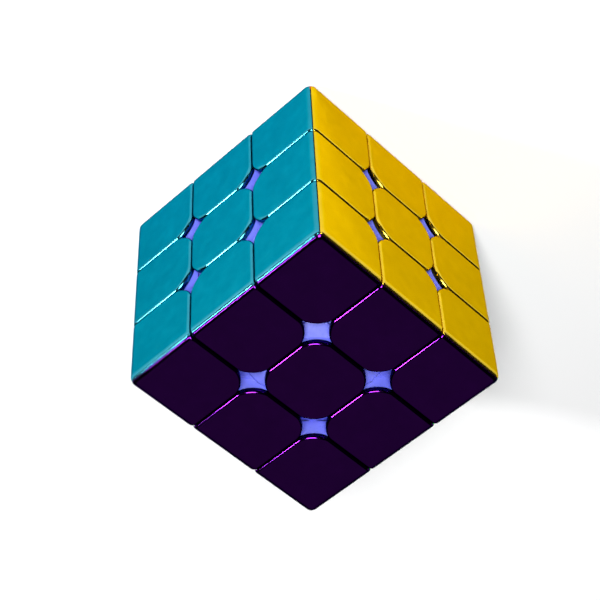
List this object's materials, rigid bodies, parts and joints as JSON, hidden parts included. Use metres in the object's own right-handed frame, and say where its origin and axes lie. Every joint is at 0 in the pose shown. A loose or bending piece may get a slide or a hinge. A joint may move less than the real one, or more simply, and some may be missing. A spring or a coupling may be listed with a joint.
{
  "type": "twisty puzzle cube",
  "caption": "Twisty puzzle cube with mirror-plated tiles on lilac frames; every face layer turns about a sprung screw in the core.",
  "frame": {"origin": "centre of the cube", "axes": "+Z through the purple face, -Y through the gold face, +X through the teal face"},
  "size_m": [0.057, 0.057, 0.057],
  "materials": {
    "plated_purple": "mirror-bright plated",
    "plated_gold": "mirror-bright plated",
    "plated_teal": "mirror-bright plated",
    "plated_red": "mirror-bright plated",
    "plated_silver": "mirror-bright plated",
    "plated_green": "mirror-bright plated",
    "plated_tiles": "mirror-bright plated, one colour to each face",
    "lilac_plastic": "smooth moulded",
    "core_plastic": "smooth moulded",
    "screw_steel": "zinc plated",
    "spring_steel": "drawn wire"
  },
  "bodies": {
    "core": {"core_spider": "core_plastic", "tension_screws": "screw_steel", "tension_springs": "spring_steel", "spring_washers": "screw_steel"},
    "face_u": {"centre_u_base": "lilac_plastic", "centre_u_cap": "plated_purple"},
    "face_d": {"centre_d_base": "lilac_plastic", "centre_d_cap": "plated_red"},
    "face_f": {"centre_f_base": "lilac_plastic", "centre_f_cap": "plated_gold"},
    "face_b": {"centre_b_base": "lilac_plastic", "centre_b_cap": "plated_silver"},
    "face_r": {"centre_r_base": "lilac_plastic", "centre_r_cap": "plated_teal"},
    "face_l": {"centre_l_base": "lilac_plastic", "centre_l_cap": "plated_green"},
    "edge_db": {"edge_db_foot": "lilac_plastic", "edge_db_tiles": "plated_tiles"},
    "edge_df": {"edge_df_foot": "lilac_plastic", "edge_df_tiles": "plated_tiles"},
    "edge_dl": {"edge_dl_foot": "lilac_plastic", "edge_dl_tiles": "plated_tiles"},
    "edge_dr": {"edge_dr_foot": "lilac_plastic", "edge_dr_tiles": "plated_tiles"},
    "edge_lb": {"edge_lb_foot": "lilac_plastic", "edge_lb_tiles": "plated_tiles"},
    "edge_lf": {"edge_lf_foot": "lilac_plastic", "edge_lf_tiles": "plated_tiles"},
    "edge_rb": {"edge_rb_foot": "lilac_plastic", "edge_rb_tiles": "plated_tiles"},
    "edge_rf": {"edge_rf_foot": "lilac_plastic", "edge_rf_tiles": "plated_tiles"},
    "edge_ub": {"edge_ub_foot": "lilac_plastic", "edge_ub_tiles": "plated_tiles"},
    "edge_uf": {"edge_uf_foot": "lilac_plastic", "edge_uf_tiles": "plated_tiles"},
    "edge_ul": {"edge_ul_foot": "lilac_plastic", "edge_ul_tiles": "plated_tiles"},
    "edge_ur": {"edge_ur_foot": "lilac_plastic", "edge_ur_tiles": "plated_tiles"},
    "corner_dlb": {"corner_dlb_foot": "lilac_plastic", "corner_dlb_tiles": "plated_tiles"},
    "corner_dlf": {"corner_dlf_foot": "lilac_plastic", "corner_dlf_tiles": "plated_tiles"},
    "corner_drb": {"corner_drb_foot": "lilac_plastic", "corner_drb_tiles": "plated_tiles"},
    "corner_drf": {"corner_drf_foot": "lilac_plastic", "corner_drf_tiles": "plated_tiles"},
    "corner_ulb": {"corner_ulb_foot": "lilac_plastic", "corner_ulb_tiles": "plated_tiles"},
    "corner_ulf": {"corner_ulf_foot": "lilac_plastic", "corner_ulf_tiles": "plated_tiles"},
    "corner_urb": {"corner_urb_foot": "lilac_plastic", "corner_urb_tiles": "plated_tiles"},
    "corner_urf": {"corner_urf_foot": "lilac_plastic", "corner_urf_tiles": "plated_tiles"}
  },
  "joints": [
    {"name": "turn_u", "type": "hinge", "parent": "core", "child": "face_u", "pos_m": [0, 0, 0], "axis": [0, 0, 1], "continuous": true},
    {"name": "turn_d", "type": "hinge", "parent": "core", "child": "face_d", "pos_m": [0, 0, 0], "axis": [0, 0, 1], "continuous": true},
    {"name": "turn_f", "type": "hinge", "parent": "core", "child": "face_f", "pos_m": [0, 0, 0], "axis": [0, 1, 0], "continuous": true},
    {"name": "turn_b", "type": "hinge", "parent": "core", "child": "face_b", "pos_m": [0, 0, 0], "axis": [0, 1, 0], "continuous": true},
    {"name": "turn_r", "type": "hinge", "parent": "core", "child": "face_r", "pos_m": [0, 0, 0], "axis": [1, 0, 0], "continuous": true},
    {"name": "turn_l", "type": "hinge", "parent": "core", "child": "face_l", "pos_m": [0, 0, 0], "axis": [1, 0, 0], "continuous": true},
    {"name": "edge_db_with_b", "type": "hinge", "parent": "face_d", "child": "edge_db", "pos_m": [0, 0, 0], "axis": [0, 1, 0], "continuous": true},
    {"name": "edge_df_with_f", "type": "hinge", "parent": "face_d", "child": "edge_df", "pos_m": [0, 0, 0], "axis": [0, 1, 0], "continuous": true},
    {"name": "edge_dl_with_d", "type": "hinge", "parent": "face_l", "child": "edge_dl", "pos_m": [0, 0, 0], "axis": [0, 0, 1], "continuous": true},
    {"name": "edge_dr_with_d", "type": "hinge", "parent": "face_r", "child": "edge_dr", "pos_m": [0, 0, 0], "axis": [0, 0, 1], "continuous": true},
    {"name": "edge_lb_with_l", "type": "hinge", "parent": "face_b", "child": "edge_lb", "pos_m": [0, 0, 0], "axis": [1, 0, 0], "continuous": true},
    {"name": "edge_lf_with_l", "type": "hinge", "parent": "face_f", "child": "edge_lf", "pos_m": [0, 0, 0], "axis": [1, 0, 0], "continuous": true},
    {"name": "edge_rb_with_r", "type": "hinge", "parent": "face_b", "child": "edge_rb", "pos_m": [0, 0, 0], "axis": [1, 0, 0], "continuous": true},
    {"name": "edge_rf_with_r", "type": "hinge", "parent": "face_f", "child": "edge_rf", "pos_m": [0, 0, 0], "axis": [1, 0, 0], "continuous": true},
    {"name": "edge_ub_with_b", "type": "hinge", "parent": "face_u", "child": "edge_ub", "pos_m": [0, 0, 0], "axis": [0, 1, 0], "continuous": true},
    {"name": "edge_uf_with_f", "type": "hinge", "parent": "face_u", "child": "edge_uf", "pos_m": [0, 0, 0], "axis": [0, 1, 0], "continuous": true},
    {"name": "edge_ul_with_u", "type": "hinge", "parent": "face_l", "child": "edge_ul", "pos_m": [0, 0, 0], "axis": [0, 0, 1], "continuous": true},
    {"name": "edge_ur_with_u", "type": "hinge", "parent": "face_r", "child": "edge_ur", "pos_m": [0, 0, 0], "axis": [0, 0, 1], "continuous": true},
    {"name": "corner_dlb_with_l", "type": "hinge", "parent": "edge_db", "child": "corner_dlb", "pos_m": [0, 0, 0], "axis": [1, 0, 0], "continuous": true},
    {"name": "corner_dlf_with_l", "type": "hinge", "parent": "edge_df", "child": "corner_dlf", "pos_m": [0, 0, 0], "axis": [1, 0, 0], "continuous": true},
    {"name": "corner_drb_with_r", "type": "hinge", "parent": "edge_db", "child": "corner_drb", "pos_m": [0, 0, 0], "axis": [1, 0, 0], "continuous": true},
    {"name": "corner_drf_with_r", "type": "hinge", "parent": "edge_df", "child": "corner_drf", "pos_m": [0, 0, 0], "axis": [1, 0, 0], "continuous": true},
    {"name": "corner_ulb_with_l", "type": "hinge", "parent": "edge_ub", "child": "corner_ulb", "pos_m": [0, 0, 0], "axis": [1, 0, 0], "continuous": true},
    {"name": "corner_ulf_with_l", "type": "hinge", "parent": "edge_uf", "child": "corner_ulf", "pos_m": [0, 0, 0], "axis": [1, 0, 0], "continuous": true},
    {"name": "corner_urb_with_r", "type": "hinge", "parent": "edge_ub", "child": "corner_urb", "pos_m": [0, 0, 0], "axis": [1, 0, 0], "continuous": true},
    {"name": "corner_urf_with_r", "type": "hinge", "parent": "edge_uf", "child": "corner_urf", "pos_m": [0, 0, 0], "axis": [1, 0, 0], "continuous": true}
  ],
  "couplings": [
    {"joint": "edge_db_with_b", "follows": "turn_b", "ratio": 1},
    {"joint": "edge_df_with_f", "follows": "turn_f", "ratio": 1},
    {"joint": "edge_dl_with_d", "follows": "turn_d", "ratio": 1},
    {"joint": "edge_dr_with_d", "follows": "turn_d", "ratio": 1},
    {"joint": "edge_lb_with_l", "follows": "turn_l", "ratio": 1},
    {"joint": "edge_lf_with_l", "follows": "turn_l", "ratio": 1},
    {"joint": "edge_rb_with_r", "follows": "turn_r", "ratio": 1},
    {"joint": "edge_rf_with_r", "follows": "turn_r", "ratio": 1},
    {"joint": "edge_ub_with_b", "follows": "turn_b", "ratio": 1},
    {"joint": "edge_uf_with_f", "follows": "turn_f", "ratio": 1},
    {"joint": "edge_ul_with_u", "follows": "turn_u", "ratio": 1},
    {"joint": "edge_ur_with_u", "follows": "turn_u", "ratio": 1},
    {"joint": "corner_dlb_with_l", "follows": "turn_l", "ratio": 1},
    {"joint": "corner_dlf_with_l", "follows": "turn_l", "ratio": 1},
    {"joint": "corner_drb_with_r", "follows": "turn_r", "ratio": 1},
    {"joint": "corner_drf_with_r", "follows": "turn_r", "ratio": 1},
    {"joint": "corner_ulb_with_l", "follows": "turn_l", "ratio": 1},
    {"joint": "corner_ulf_with_l", "follows": "turn_l", "ratio": 1},
    {"joint": "corner_urb_with_r", "follows": "turn_r", "ratio": 1},
    {"joint": "corner_urf_with_r", "follows": "turn_r", "ratio": 1}
  ]
}
